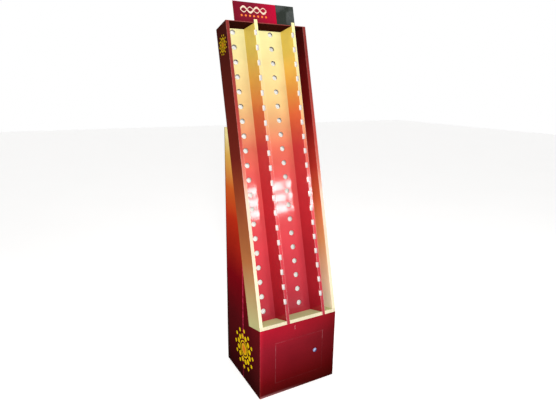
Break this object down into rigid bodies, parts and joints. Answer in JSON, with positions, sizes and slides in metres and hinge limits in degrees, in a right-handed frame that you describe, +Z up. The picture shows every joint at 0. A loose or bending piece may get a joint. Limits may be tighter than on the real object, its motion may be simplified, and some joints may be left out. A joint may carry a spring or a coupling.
{
  "type": "cardboard display stand",
  "caption": "Free-standing printed cardboard display stand: base box with storage door, tall shell and a leaning tray with folded ridges and rows of holes for eyewear.",
  "frame": {"origin": "middle of the base on the floor", "axes": "+Z up, the display and the storage door face -Y, +X to the right of a person who looks at the front"},
  "size_m": [0.4, 0.4543, 1.7363],
  "materials": {
    "shell_print": "printed and varnished, crimson to yellow fade",
    "door_print": "printed and varnished crimson",
    "pull_plastic": "glossy pale moulded plastic",
    "plain_board": "plain kraft board",
    "tray_print": "printed and varnished, maroon to cream fade, white inside",
    "panel_print": "gloss coated print, pale yellow to crimson fade, white inside",
    "header_print": "gloss printed card, maroon to crimson",
    "white_card": "plain white card",
    "mirror": "plastic mirror sheet"
  },
  "bodies": {
    "stand": {"outer_shell": "shell_print", "floor_pad": "plain_board", "storage_shelf": "plain_board", "display_tray": "tray_print", "display_panel": "panel_print", "header_card": "header_print", "header_mirror": "mirror", "ridge_liner_1": "white_card", "ridge_liner_2": "white_card"},
    "door": {"storage_door": "door_print", "door_pull": "pull_plastic"}
  },
  "joints": [
    {"name": "door_hinge", "type": "hinge", "parent": "stand", "child": "door", "pos_m": [-0.122, -0.186, 0.16], "axis": [0, 0, -1], "range_deg": [0, 120]}
  ]
}
